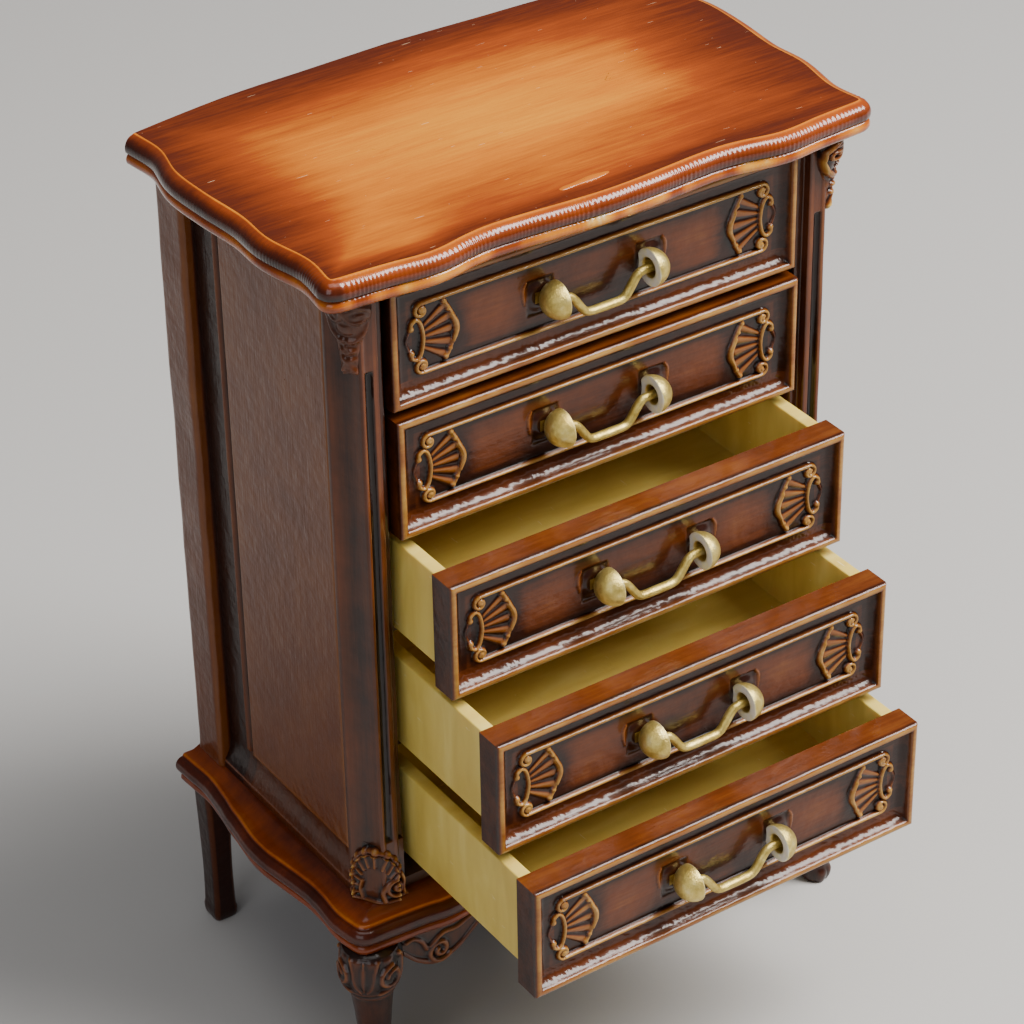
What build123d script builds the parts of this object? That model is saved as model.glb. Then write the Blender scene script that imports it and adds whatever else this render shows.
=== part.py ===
from build123d import *
import os

# Dolls' house chest of five drawers, one twelfth scale, in millimetres.
# Origin: on the floor under the middle of the chest. +Z is up and the drawers open towards -Y.

os.makedirs("parts", exist_ok=True)

# ---------------------------------------------------------------- driving dimensions

# case
CASE_HALF_WIDTH = 29.7
FRONT_Y = -17.1
BACK_Y = 17.1
CASE_BOTTOM = 23.2
CASE_TOP = 94.7
TOTAL_HEIGHT = 98.0

# corner posts, rear stiles, side and back panels
OPENING_HALF_WIDTH = 24.35
POST_OUTER_X = 29.2
POST_DEPTH = 3.6
POST_STRIP_WIDTH = 1.0
POST_STRIP_SETBACK = 0.9
HOLLOW_FRONT_X = 27.5
HOLLOW_BACK_Y = -13.9
HOLLOW_SAG = 0.3
FLUTE_X = 26.5
FLUTE_RADIUS = 0.42
FLUTE_BOTTOM = 31.0
FLUTE_TOP = 86.0
BRACKET_BOTTOM = 86.2
PALMETTE_TOP = 30.0
STILE_WIDTH = 5.0
PANEL_INNER_X = 26.2
PANEL_OUTER_X = 28.2
PANEL_RAISE = 0.6
PANEL_FIELD_MARGIN = 0.6
PANEL_FIELD_BACK_Y = 6.6
PANEL_FIELD_BOTTOM = 27.8
PANEL_FIELD_TOP = 94.0
PANEL_BEAD_Y = 7.4
PANEL_BEAD_WIDTH = 1.0
COVE_TOE_HEIGHT = 0.9
COVE_HEIGHT = 4.0
BACK_THICKNESS = 1.2
FLOOR_THICKNESS = 1.2

# serpentine top and plinth
EDGE_HALF_WIDTH = 30.75
EDGE_FRONT_Y = -18.1
EDGE_BACK_Y = 17.7
OUTLINE_DEPTH = 39.1
TOP_ROLL_OVERHANG = 1.2
TOP_LOWER_OVERHANG = 1.1
PLINTH_BOTTOM = 18.8
PLINTH_EDGE_Z = 22.4
PLINTH_ROLL_OVERHANG = 1.5
PLINTH_LOWER_OVERHANG = 0.8
EAR_RADIUS = 1.0

# legs and apron
LEG_FRONT = (29.2, -16.9)
LEG_REAR = (29.0, 16.1)
APRON_FRONT_Y = -18.2
APRON_THICKNESS = 1.8
APRON_HALF_WIDTH = 25.9

# drawers
DRAWER_COUNT = 5
FRONT_HALF_WIDTH = 23.9
FRONT_HEIGHT = 13.2
FRONT_THICKNESS = 3.2
DRAWER_PITCH = 14.1
LOWEST_FRONT_Z = 24.4
DRAWER_OPENING = (0.0, 0.6, 8.9, 16.5, 22.5)
RIM_WIDTH = 0.7
FIELD_DEPTH = 1.1
FIELD_BEVEL = 1.2
BEAD_HALF_LENGTH = 20.9
BEAD_HALF_HEIGHT = 4.0
BEAD_WIDTH = 0.5
BEAD_HEIGHT = 0.5

# drawer boxes and their runners
BOX_HALF_WIDTH = 23.4
BOX_WALL = 1.5
BOX_BOTTOM_THICKNESS = 1.2
BOX_RISE = 2.1
BOX_TOP_DROP = 0.4
BOX_BACK_Y = 14.9
RACK_INNER_X = 25.0
LEDGE_INNER_X = 21.4
LEDGE_THICKNESS = 1.3
LEDGE_CLEARANCE = 0.1
LEDGE_BACK_GAP = 0.9

# handles
KNOB_RADIUS = 2.0
KNOB_RIM_X = 5.2
KNOB_LENGTH = 2.1
KNOB_HOLLOW_RADIUS = 1.5
KNOB_HOLLOW_DEPTH = 0.9
KNOB_RISE = 6.5
KNOB_PROUD = 0.6
POCKET_INNER_X = 4.6
POCKET_OUTER_X = 8.0
POCKET_HALF_HEIGHT = 2.15
POCKET_DEPTH = 1.7
TENON_SIZE = 1.2
TENON_X = 6.5
TENON_DEPTH = 2.6
TENON_CLEARANCE = 0.05
WIRE_RADIUS = 0.475
BORE_RADIUS = 0.525
WIRE_END_X = 6.9
BORE_END_X = 7.0
BAIL_SHOULDER_X = 3.95
BAIL_BAR_X = 2.3
BAIL_DROP = 2.5
BAIL_BEND_RADIUS = 0.9

# How far the front edge bows out at a share of the half width, from the middle to the ear.
FRONT_WAVE = ((0.0, 0.5), (0.42, -0.25), (0.65, 0.8), (0.82, 0.35), (1.0, 0.0))
# How far the side edges bow out at a share of the outline's depth, from the ear to behind the back.
TOP_SIDE_WAVE = ((0.0, 0.0), (0.115, -0.45), (0.26, 0.5), (0.39, 0.3), (0.55, 0.85), (0.68, 0.9),
                 (0.8, -0.1), (0.91, 0.2), (1.0, 0.5))
PLINTH_SIDE_WAVE = ((0.0, 0.0), (0.09, 0.5), (0.23, 0.25), (0.44, 1.4), (0.6, 0.7), (0.77, -0.1),
                    (0.91, 0.1), (1.0, 0.1))
# How far the back edge of the top bows out at a share of the half width.
TOP_BACK_WAVE = ((0.0, 2.4), (0.33, 2.0), (0.65, 1.6), (1.0, 0.1), (1.15, -0.8))


# ---------------------------------------------------------------- helpers

def block(x0, x1, y0, y1, z0, z1):
    """A box between two corners."""
    return Pos((x0 + x1) / 2, (y0 + y1) / 2, (z0 + z1) / 2) * Box(x1 - x0, y1 - y0, z1 - z0)


def mirrored(shape):
    """The same piece for the other side of the chest."""
    return mirror(shape, about=Plane.YZ)


def save(shape, node):
    export_step(shape, "parts/" + node + ".step")


def serpentine(overhang, z0, z1, rounding, side_wave):
    """A slab with a wavy front and sides, pushed out by an overhang, running on behind the back."""
    half = EDGE_HALF_WIDTH + overhang
    front = EDGE_FRONT_Y - overhang
    depth = OUTLINE_DEPTH + overhang
    right = [(share * half, front - bow) for share, bow in FRONT_WAVE]
    left = [(-x, y) for x, y in reversed(right[1:])]
    side = [(half + bow, front + share * depth) for share, bow in side_wave]
    far_side = [(-x, y) for x, y in reversed(side)]
    edges = [Spline(*(left + right)), Spline(*side), Line(side[-1], far_side[0]), Spline(*far_side)]
    slab = extrude(Plane.XY.offset(z0) * make_face(Wire(edges)), z1 - z0)
    ears = slab.edges().filter_by(Axis.Z).sort_by(Axis.Y)[:2]
    slab = fillet(ears, EAR_RADIUS)
    if rounding > 0:
        rims = [e for e in slab.edges() if abs(e.bounding_box().size.Z) < 0.001]
        rims = [e for e in rims if e.center().Y < front + depth - 0.5]
        slab = fillet(rims, rounding)
    return slab


def back_cutter(wave):
    """Everything in front of a back edge that bows out by the wave."""
    right = [(share * EDGE_HALF_WIDTH, EDGE_BACK_Y + bow) for share, bow in wave]
    back = Spline(*([(-x, y) for x, y in reversed(right[1:])] + right))
    left_end = (-right[-1][0], right[-1][1])
    rest = Polyline(right[-1], (right[-1][0], -30), (-right[-1][0], -30), left_end)
    return extrude(make_face(back + rest), TOTAL_HEIGHT + 1)


# ---------------------------------------------------------------- top and plinth

def make_top():
    """Top board: a flat face, a rounded roll below its edge and a second roll under that."""
    face = serpentine(0.0, CASE_TOP, TOTAL_HEIGHT, 0.0, TOP_SIDE_WAVE)
    roll = serpentine(TOP_ROLL_OVERHANG, TOTAL_HEIGHT - 1.9, TOTAL_HEIGHT - 0.2, 0.8, TOP_SIDE_WAVE)
    lower_roll = serpentine(TOP_LOWER_OVERHANG, CASE_TOP, TOTAL_HEIGHT - 1.7, 0.6, TOP_SIDE_WAVE)
    return (face + roll + lower_roll) & back_cutter(TOP_BACK_WAVE)


def make_plinth():
    """Base: a seat for the case, a sloping edge, a glossy roll and a lower band."""
    edge = serpentine(0.0, PLINTH_BOTTOM, PLINTH_EDGE_Z, 0.0, PLINTH_SIDE_WAVE)
    roll = serpentine(PLINTH_ROLL_OVERHANG, PLINTH_BOTTOM + 1.2, PLINTH_EDGE_Z - 0.2, 0.9,
                      PLINTH_SIDE_WAVE)
    lower_band = serpentine(PLINTH_LOWER_OVERHANG, PLINTH_BOTTOM, PLINTH_BOTTOM + 1.4, 0.4,
                            PLINTH_SIDE_WAVE)
    front_part = block(-40, 40, -40, EDGE_BACK_Y, 0, PLINTH_EDGE_Z)
    seat = block(-30.1, 30.1, -17.5, 17.3, PLINTH_EDGE_Z, CASE_BOTTOM)
    return ((edge + roll + lower_band) & front_part) + seat


# ---------------------------------------------------------------- case

def make_post():
    """Right corner post: a set-back strip beside the drawers, a fluted face, a hollowed corner."""
    strip_edge = OPENING_HALF_WIDTH + POST_STRIP_WIDTH
    strip_front = FRONT_Y + POST_STRIP_SETBACK
    back = FRONT_Y + POST_DEPTH
    hollow_front = Vector(HOLLOW_FRONT_X, FRONT_Y)
    hollow_back = Vector(POST_OUTER_X, HOLLOW_BACK_Y)
    chord = hollow_back - hollow_front
    inward = Vector(-chord.Y, chord.X).normalized()
    deepest = (hollow_front + hollow_back) * 0.5 + inward * HOLLOW_SAG
    straight = Polyline((POST_OUTER_X, HOLLOW_BACK_Y), (POST_OUTER_X, back), (OPENING_HALF_WIDTH, back),
                        (OPENING_HALF_WIDTH, strip_front), (strip_edge, strip_front),
                        (strip_edge, FRONT_Y), (HOLLOW_FRONT_X, FRONT_Y))
    section = make_face(straight + ThreePointArc(hollow_front, deepest, hollow_back))
    post = extrude(Plane.XY.offset(CASE_BOTTOM) * section, CASE_TOP - CASE_BOTTOM)
    flute = Cylinder(FLUTE_RADIUS, FLUTE_TOP - FLUTE_BOTTOM)
    return post - Pos(FLUTE_X, FRONT_Y - 0.05, (FLUTE_TOP + FLUTE_BOTTOM) / 2) * flute


def make_bracket(post):
    """Carved bracket under the top, filling the hollowed corner of the post."""
    upper = Polyline((26.2, -17.7), (28.7, -17.5), (29.9, -15.6), (29.8, -13.9), (26.2, -13.9),
                     close=True)
    lower = Polyline((27.2, -17.3), (28.3, -17.2), (29.3, -15.4), (29.3, -14.2), (27.2, -14.2),
                     close=True)
    upper_face = Plane.XY.offset(CASE_TOP) * make_face(upper)
    lower_face = Plane.XY.offset(BRACKET_BOTTOM) * make_face(lower)
    return loft([lower_face, upper_face]) - post


def make_palmette(post):
    """Shell ornament standing on the plinth, wrapped round the foot of the post."""
    outline = Polyline((24.6, -17.5), (27.8, -17.5), (29.6, -14.2), (29.6, -13.7), (24.6, -13.7),
                       close=True)
    body = extrude(Plane.XY.offset(CASE_BOTTOM) * make_face(outline), PALMETTE_TOP - CASE_BOTTOM)
    return body - post


def make_side_panel():
    """Right side: a raised flat panel, a bead and groove at its back, a cove at its foot."""
    y0 = FRONT_Y + POST_DEPTH
    y1 = BACK_Y - STILE_WIDTH
    face_x = PANEL_OUTER_X + PANEL_RAISE
    root_x = PANEL_OUTER_X - 0.1
    panel = block(PANEL_INNER_X, PANEL_OUTER_X, y0, y1, CASE_BOTTOM, CASE_TOP)
    panel += block(root_x, face_x, y0 + PANEL_FIELD_MARGIN, PANEL_FIELD_BACK_Y,
                   PANEL_FIELD_BOTTOM, PANEL_FIELD_TOP)
    panel += block(root_x, face_x, PANEL_BEAD_Y, PANEL_BEAD_Y + PANEL_BEAD_WIDTH,
                   PANEL_FIELD_BOTTOM, PANEL_FIELD_TOP)
    toe_top = CASE_BOTTOM + COVE_TOE_HEIGHT
    cove_top = CASE_BOTTOM + COVE_HEIGHT
    cove = Polyline((root_x, CASE_BOTTOM), (POST_OUTER_X, CASE_BOTTOM), (POST_OUTER_X, toe_top),
                    (PANEL_OUTER_X + 0.3, (toe_top + cove_top) / 2), (PANEL_OUTER_X, cove_top),
                    (root_x, cove_top), close=True)
    cove_face = Plane.XZ.offset(-y1) * make_face(cove)
    return panel + extrude(cove_face, y1 - y0)


def make_stile():
    """Right rear stile."""
    stile = block(PANEL_INNER_X, CASE_HALF_WIDTH, BACK_Y - STILE_WIDTH, BACK_Y, CASE_BOTTOM, CASE_TOP)
    outer = stile.edges().filter_by(Axis.Z).sort_by(Axis.X)[-2:]
    return fillet(outer, 0.4)


def make_back():
    return block(-PANEL_INNER_X, PANEL_INNER_X, BACK_Y - BACK_THICKNESS, BACK_Y, CASE_BOTTOM, CASE_TOP)


def make_floor():
    return block(-OPENING_HALF_WIDTH, OPENING_HALF_WIDTH, FRONT_Y + POST_STRIP_SETBACK,
                 BACK_Y - BACK_THICKNESS, CASE_BOTTOM, CASE_BOTTOM + FLOOR_THICKNESS)


def make_rack():
    """Right runner rack: a thin wall with one ledge for each drawer."""
    y0 = FRONT_Y + POST_DEPTH
    y1 = BACK_Y - BACK_THICKNESS
    rack = block(RACK_INNER_X, PANEL_INNER_X, y0, y1, CASE_BOTTOM, CASE_TOP)
    for number in range(DRAWER_COUNT):
        top = LOWEST_FRONT_Z + number * DRAWER_PITCH + BOX_RISE - LEDGE_CLEARANCE
        rack += block(LEDGE_INNER_X, RACK_INNER_X + 0.1, y0, y1 - LEDGE_BACK_GAP,
                      top - LEDGE_THICKNESS, top)
    return rack


# ---------------------------------------------------------------- legs and apron

# Front leg: height, push outwards along the diagonal, radius.
FRONT_LEG_SECTIONS = (
    (0.0, 0.4, 1.5),
    (1.3, 0.4, 1.8),
    (4.0, 0.0, 1.7),
    (8.5, 0.0, 2.0),
    (12.5, 0.2, 2.4),
    (16.0, 0.5, 3.1),
    (PLINTH_BOTTOM, 0.1, 3.0),
)
# Rear leg: height, width, depth.
REAR_LEG_SECTIONS = (
    (0.0, 2.6, 2.8),
    (1.2, 2.9, 3.2),
    (7.0, 2.6, 2.9),
    (13.0, 2.8, 3.1),
    (PLINTH_BOTTOM, 3.2, 3.1),
)


def make_front_leg():
    """Cabriole leg: round sections from the foot up to the plinth, leaning out at the knee."""
    faces = []
    for z, push, radius in FRONT_LEG_SECTIONS:
        lean = push * 0.7071
        faces.append(Pos(LEG_FRONT[0] + lean, LEG_FRONT[1] - lean, z) * Circle(radius))
    return loft(faces)


def make_rear_leg():
    """Plain tapered leg of rounded rectangular section."""
    faces = []
    for z, width, depth in REAR_LEG_SECTIONS:
        faces.append(Pos(LEG_REAR[0], LEG_REAR[1], z) * RectangleRounded(width, depth, 0.8))
    return loft(faces)


def make_apron():
    """Shaped board under the front of the plinth, with a scroll beside each leg."""
    drops = ((0.0, 4.9), (4.0, 3.6), (9.0, 2.2), (15.0, 2.4), (19.0, 5.2), (21.5, 6.1), (24.0, 5.0),
             (APRON_HALF_WIDTH, 2.8))
    half = [(x, PLINTH_BOTTOM - drop) for x, drop in drops]
    outline = half[::-1] + [(-x, z) for x, z in half[1:]]
    lower = Spline(*outline)
    left = Line(outline[-1], (-APRON_HALF_WIDTH, PLINTH_BOTTOM))
    upper = Line((-APRON_HALF_WIDTH, PLINTH_BOTTOM), (APRON_HALF_WIDTH, PLINTH_BOTTOM))
    right = Line((APRON_HALF_WIDTH, PLINTH_BOTTOM), outline[0])
    face = Plane.XZ.offset(-APRON_FRONT_Y) * make_face(Wire([lower, left, upper, right]))
    return extrude(face, -APRON_THICKNESS)


# ---------------------------------------------------------------- drawers

def make_front():
    """Drawer front with a rim, a sunken field, a bead frame and a scroll and shell at each end.

    Built with its lower edge at z = 0 and its face in the plane y = 0.
    """
    half = FRONT_HALF_WIDTH
    front = block(-half, half, 0, FRONT_THICKNESS, 0, FRONT_HEIGHT)
    lower_back = front.edges().filter_by(Axis.X).sort_by(Axis.Z)[:2].sort_by(Axis.Y)[-1]
    front = fillet(lower_back, 0.6)
    middle = FRONT_HEIGHT / 2
    mouth = Plane.XZ * Pos(0, middle) * Rectangle(2 * (half - RIM_WIDTH), FRONT_HEIGHT - 2 * RIM_WIDTH)
    sink = RIM_WIDTH + FIELD_BEVEL
    field_plane = Plane.XZ.offset(-FIELD_DEPTH)
    field = field_plane * Pos(0, middle) * Rectangle(2 * (half - sink), FRONT_HEIGHT - 2 * sink)
    front -= loft([mouth, field])

    outer = Rectangle(2 * BEAD_HALF_LENGTH, 2 * BEAD_HALF_HEIGHT)
    inner = Rectangle(2 * (BEAD_HALF_LENGTH - BEAD_WIDTH), 2 * (BEAD_HALF_HEIGHT - BEAD_WIDTH))
    relief = outer - inner
    for side in (-1, 1):
        hub = Pos(side * 20.1, 0)
        shell = hub * (Circle(4.2) - Circle(3.75)) & outer
        shell = shell & (Pos(side * 17.0, 0) * Rectangle(6.0, 8.0))
        scroll = Pos(side * 22.3, 0) * (Circle(2.7) - Circle(2.25))
        scroll = scroll & (Pos(side * 20.2, 0) * Rectangle(1.6, 5.0))
        relief = relief + shell + scroll
    front += extrude(field_plane * Pos(0, middle) * relief, BEAD_HEIGHT)

    for side in (-1, 1):
        near = min(side * POCKET_INNER_X, side * POCKET_OUTER_X)
        far = max(side * POCKET_INNER_X, side * POCKET_OUTER_X)
        front -= block(near, far, 0, POCKET_DEPTH, KNOB_RISE - POCKET_HALF_HEIGHT,
                       KNOB_RISE + POCKET_HALF_HEIGHT)
        hole = TENON_SIZE / 2 + TENON_CLEARANCE
        front -= block(side * TENON_X - hole, side * TENON_X + hole, 0, TENON_DEPTH,
                       KNOB_RISE - hole, KNOB_RISE + hole)
    return front


def make_box():
    """Drawer box: two sides, a back and a bottom, closed at the front by the drawer front."""
    z0 = BOX_RISE
    z1 = FRONT_HEIGHT - BOX_TOP_DROP
    y0 = FRONT_THICKNESS
    y1 = BOX_BACK_Y - FRONT_Y
    box = block(-BOX_HALF_WIDTH, BOX_HALF_WIDTH, y0, y1, z0, z1)
    inner = BOX_HALF_WIDTH - BOX_WALL
    box -= block(-inner, inner, y0 - 1, y1 - BOX_WALL, z0 + BOX_BOTTOM_THICKNESS, z1 + 1)
    return box


def make_knob():
    """Right knob: a hollow dome lying on its side, its open end towards the other knob."""
    dome = Sphere(KNOB_RADIUS, rotation=(0, 0, 0)) & block(0, 3, -3, 3, -3, 3)
    dome = scale(dome, by=(KNOB_LENGTH / KNOB_RADIUS, 1, 1))
    dome -= Pos(KNOB_HOLLOW_DEPTH / 2, 0, 0) * Rot(0, 90, 0) * Cylinder(KNOB_HOLLOW_RADIUS,
                                                                       KNOB_HOLLOW_DEPTH)
    bore = BORE_END_X - KNOB_RIM_X
    dome -= Pos(bore / 2, 0, 0) * Rot(0, 90, 0) * Cylinder(BORE_RADIUS, bore)
    dome = Pos(KNOB_RIM_X, -KNOB_PROUD, KNOB_RISE) * dome
    half = TENON_SIZE / 2
    root = KNOB_RADIUS - KNOB_PROUD - 0.6
    tenon = block(TENON_X - half, TENON_X + half, root, TENON_DEPTH, KNOB_RISE - half, KNOB_RISE + half)
    return dome + tenon


def make_bail():
    """Bent wire that swings in the two knobs and hangs straight down."""
    path = FilletPolyline(
        (-WIRE_END_X, 0, 0),
        (-BAIL_SHOULDER_X, 0, 0),
        (-BAIL_BAR_X, 0, -BAIL_DROP),
        (BAIL_BAR_X, 0, -BAIL_DROP),
        (BAIL_SHOULDER_X, 0, 0),
        (WIRE_END_X, 0, 0),
        radius=BAIL_BEND_RADIUS,
    )
    section = Plane(origin=(-WIRE_END_X, 0, 0), z_dir=(1, 0, 0)) * Circle(WIRE_RADIUS)
    return Pos(0, -KNOB_PROUD, KNOB_RISE) * sweep(section, path=path)


# ---------------------------------------------------------------- assembly

def main():
    save(make_top(), "top_board")
    save(make_plinth(), "base_plinth")
    save(make_back(), "back_panel")
    save(make_floor(), "case_floor")
    save(make_apron(), "front_apron")

    post = make_post()
    right_side = {
        "corner_post": post,
        "post_bracket": make_bracket(post),
        "post_palmette": make_palmette(post),
        "side_panel": make_side_panel(),
        "rear_stile": make_stile(),
        "runner_rack": make_rack(),
        "front_leg": make_front_leg(),
        "rear_leg": make_rear_leg(),
    }
    for name, shape in right_side.items():
        save(shape, name + "_right")
        save(mirrored(shape), name + "_left")

    front = make_front()
    box = make_box()
    knob = make_knob()
    bail = make_bail()
    for index, opening in enumerate(DRAWER_OPENING):
        rise = LOWEST_FRONT_Z + (DRAWER_COUNT - 1 - index) * DRAWER_PITCH
        place = Pos(0, FRONT_Y - opening, rise)
        name = "drawer_" + str(index + 1)
        save(place * front, name + "_front")
        save(place * box, name + "_box")
        save(place * knob, name + "_knob_right")
        save(place * mirrored(knob), name + "_knob_left")
        save(place * bail, name + "_bail")


main()
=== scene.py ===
import math
from functools import partial

import bmesh
import bpy
import numpy as np
from mathutils import Matrix, Vector


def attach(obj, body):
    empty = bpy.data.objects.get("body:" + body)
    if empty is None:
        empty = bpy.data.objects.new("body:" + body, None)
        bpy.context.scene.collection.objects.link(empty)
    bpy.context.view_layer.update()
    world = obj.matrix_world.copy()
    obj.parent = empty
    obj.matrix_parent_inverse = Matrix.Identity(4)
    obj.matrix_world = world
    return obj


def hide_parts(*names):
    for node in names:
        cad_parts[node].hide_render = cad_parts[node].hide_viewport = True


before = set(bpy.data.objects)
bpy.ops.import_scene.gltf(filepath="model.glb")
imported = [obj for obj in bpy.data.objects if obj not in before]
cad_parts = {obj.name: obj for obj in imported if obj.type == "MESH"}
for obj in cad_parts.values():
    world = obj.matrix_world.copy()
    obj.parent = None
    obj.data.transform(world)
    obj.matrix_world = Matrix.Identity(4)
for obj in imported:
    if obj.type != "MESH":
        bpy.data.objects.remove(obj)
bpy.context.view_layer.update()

MM = 0.001

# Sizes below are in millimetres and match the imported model.
TOP_Z = 98.0
CASE_TOP = 94.7
CASE_BOTTOM = 23.2
CASE_FRONT = -17.1
CASE_BACK = 17.1
LEG_TOP = 18.8
FRONT_LEG_AT = (29.2, -16.9)
REAR_LEG_AT = (29.0, 16.1)
LOWEST_FRONT_Z = 24.4
PITCH = 14.1
OPENINGS = (0.0, 0.6, 8.9, 16.5, 22.5)
FRONT_HALF = 23.9
FRONT_HEIGHT = 13.2
KNOB_X = 6.5
KNOB_RISE = 6.5
BAIL_Y = -0.6
PLINTH_BACK = 17.7
EDGE_HALF = 30.75
EDGE_FRONT = -18.1
OUTLINE_DEPTH = 39.1
FRONT_WAVE = ((0.0, 0.5), (0.42, -0.25), (0.65, 0.8), (0.82, 0.35), (1.0, 0.0))
TOP_SIDE_WAVE = ((0.0, 0.0), (0.115, -0.45), (0.26, 0.5), (0.39, 0.3), (0.55, 0.85), (0.68, 0.9),
                 (0.8, -0.1), (0.91, 0.2), (1.0, 0.5))
PLINTH_SIDE_WAVE = ((0.0, 0.0), (0.09, 0.5), (0.23, 0.25), (0.44, 1.4), (0.6, 0.7), (0.77, -0.1),
                    (0.91, 0.1), (1.0, 0.1))
TOP_SIDE_END = 17.8
TOP_BACK_WAVE = ((0.0, 2.4), (0.33, 2.0), (0.65, 1.6), (1.0, 0.1), (1.15, -0.8))


# ---------------- lines and fields

def offsets(line):
    """How far along a line each of its points is."""
    return np.concatenate([[0.0], np.cumsum(np.linalg.norm(np.diff(line, axis=0), axis=1))])


def outward(line):
    """The unit normal of a plan line at each point, on its right hand."""
    tangent = np.gradient(line, axis=0)
    tangent /= np.linalg.norm(tangent, axis=1)[:, None]
    return np.stack([tangent[:, 1], -tangent[:, 0]], 1)


def even(points, step):
    """The same line with points an even step apart."""
    run = offsets(points)
    count = max(2, int(round(run[-1] / step)) + 1)
    at = np.linspace(0.0, run[-1], count)
    return np.stack([np.interp(at, run, points[:, k]) for k in range(points.shape[1])], 1)


def curve(points, step=0.1):
    """A smooth line through the points."""
    p = np.array(points, float)
    p = np.vstack([2 * p[0] - p[1], p, 2 * p[-1] - p[-2]])
    t = np.linspace(0, 1, 24, endpoint=False)[:, None]
    parts = []
    for a, b, c, d in zip(p, p[1:], p[2:], p[3:]):
        parts.append(0.5 * (2 * b + (c - a) * t + (2 * a - 5 * b + 4 * c - d) * t ** 2
                            + (3 * b - a - 3 * c + d) * t ** 3))
    parts.append(p[-2][None, :])
    return even(np.vstack(parts), step)


def spiral(centre, r0, r1, start, turns):
    """A line winding round a centre from one radius to another. Angles are in turns."""
    t = np.linspace(0, 1, 60)
    angle = 2 * math.pi * (start + turns * t)
    r = r0 + (r1 - r0) * t
    return even(np.stack([centre[0] + r * np.cos(angle), centre[1] + r * np.sin(angle)], 1), 0.1)


def near(gx, gz, line):
    """How far each grid point is from a line, and the share of the line where it is nearest."""
    best = np.full(gx.shape, 1e9)
    along = np.zeros(gx.shape)
    count = len(line) - 1
    for i in range(count):
        a = line[i]
        d = line[i + 1] - a
        t = np.clip(((gx - a[0]) * d[0] + (gz - a[1]) * d[1]) / max(d @ d, 1e-12), 0, 1)
        distance = np.hypot(gx - a[0] - t * d[0], gz - a[1] - t * d[1])
        closer = distance < best
        best[closer] = distance[closer]
        along[closer] = ((i + t) / count)[closer]
    return best, along


def ridge(field, gx, gz, line, half_width, rise, ends=1.0):
    """Adds a rounded ridge along a line to a height field; ends is the width left at its ends."""
    line = np.array(line, float)
    low = line.min(0) - half_width
    high = line.max(0) + half_width
    m = (gx > low[0]) & (gx < high[0]) & (gz > low[1]) & (gz < high[1])
    if not m.any():
        return
    distance, along = near(gx[m], gz[m], line)
    width = half_width * (ends + (1 - ends) * np.sin(math.pi * along))
    height = rise * np.clip(1 - (distance / width) ** 2, 0, 1) ** 0.6
    field[m] = np.maximum(field[m], height)


def ball(field, gx, gz, centre, radius, rise):
    """Adds a round lump to a height field."""
    ridge(field, gx, gz, [centre, (centre[0] + 1e-3, centre[1])], radius, rise)


def grid(u, v):
    return np.meshgrid(u, v, indexing="ij")


def carving(gx, gz):
    """A flat height field on a grid, and the functions which add a ridge or a ball to it."""
    field = np.zeros_like(gx)
    return field, partial(ridge, field, gx, gz), partial(ball, field, gx, gz)


def blur_row(values, sigma, reach):
    """A row of values blurred by a bell curve, with its end values held."""
    k = np.arange(-reach, reach + 1)
    bell = np.exp(-k ** 2 / (2.0 * sigma ** 2))
    return np.convolve(np.pad(values, reach, mode="edge"), bell / bell.sum(), mode="valid")


def blur(field, sigma):
    """A grid of values blurred along both of its axes."""
    for axis in (0, 1):
        field = np.apply_along_axis(blur_row, axis, field, sigma, int(3 * sigma) + 1)
    return field


def standing_out(field, sigma):
    """How far each point of a field is over its surroundings."""
    return field - blur(field, sigma)


def blend(a, b, share):
    return a * (1 - share) + b * share


def soften(line, sigma):
    """A line with its corners rounded, between the same two ends."""
    out = np.stack([blur_row(column, sigma, 3 * sigma) for column in line.T], 1)
    out[0], out[-1] = line[0], line[-1]
    return out


def wobble(*coords, seed=0, scale=1.0):
    """Smooth uneven values between about -1 and 1."""
    rng = np.random.default_rng(seed)
    total = 0.0
    for octave in range(5):
        phase = rng.uniform(0, 6.28)
        inner = phase
        for c in coords:
            inner = inner + c * scale * rng.uniform(0.4, 1.3) * rng.choice((-1, 1)) * (1 + 0.7 * octave)
        total = total + np.sin(inner + 0.8 * np.sin(inner * 0.53 + phase)) / (1 + 0.6 * octave)
    return total / 2.2


def smooth_step(a, b, v):
    """Rises smoothly from 0 where v is a to 1 where v is b."""
    t = np.clip((v - a) / (b - a), 0, 1)
    return t * t * (3 - 2 * t)


def marks(*groups):
    """Grid lines from (start, stop, step) groups."""
    parts = [np.arange(a, b, s) for a, b, s in groups]
    parts.append(np.array([groups[-1][1]]))
    return np.unique(np.round(np.concatenate(parts), 5))


# ---------------- meshes

def add_object(name, data):
    ob = bpy.data.objects.new(name, data)
    bpy.context.scene.collection.objects.link(ob)
    return ob


def handed(name, side):
    """The name of a piece on the left (-1) or right (1) side."""
    return name + ("_right" if side > 0 else "_left")


def finish_mesh(bm, me, sharp):
    """Shades a mesh smooth except at edges sharper than an angle in degrees."""
    bm.to_mesh(me)
    bm.free()
    me.polygons.foreach_set("use_smooth", [True] * len(me.polygons))
    me.set_sharp_from_angle(angle=math.radians(sharp))
    return me


def mesh_of(name, verts, faces, tone, sharp):
    """A mesh from points in millimetres and the tone of each point."""
    me = bpy.data.meshes.new(name)
    me.from_pydata((np.asarray(verts) * MM).tolist(), [], faces)
    me.attributes.new("tone", "FLOAT", "POINT").data.foreach_set("value", np.asarray(tone, np.float32))
    bm = bmesh.new()
    bm.from_mesh(me)
    bmesh.ops.recalc_face_normals(bm, faces=bm.faces)
    return finish_mesh(bm, me, sharp)


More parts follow.
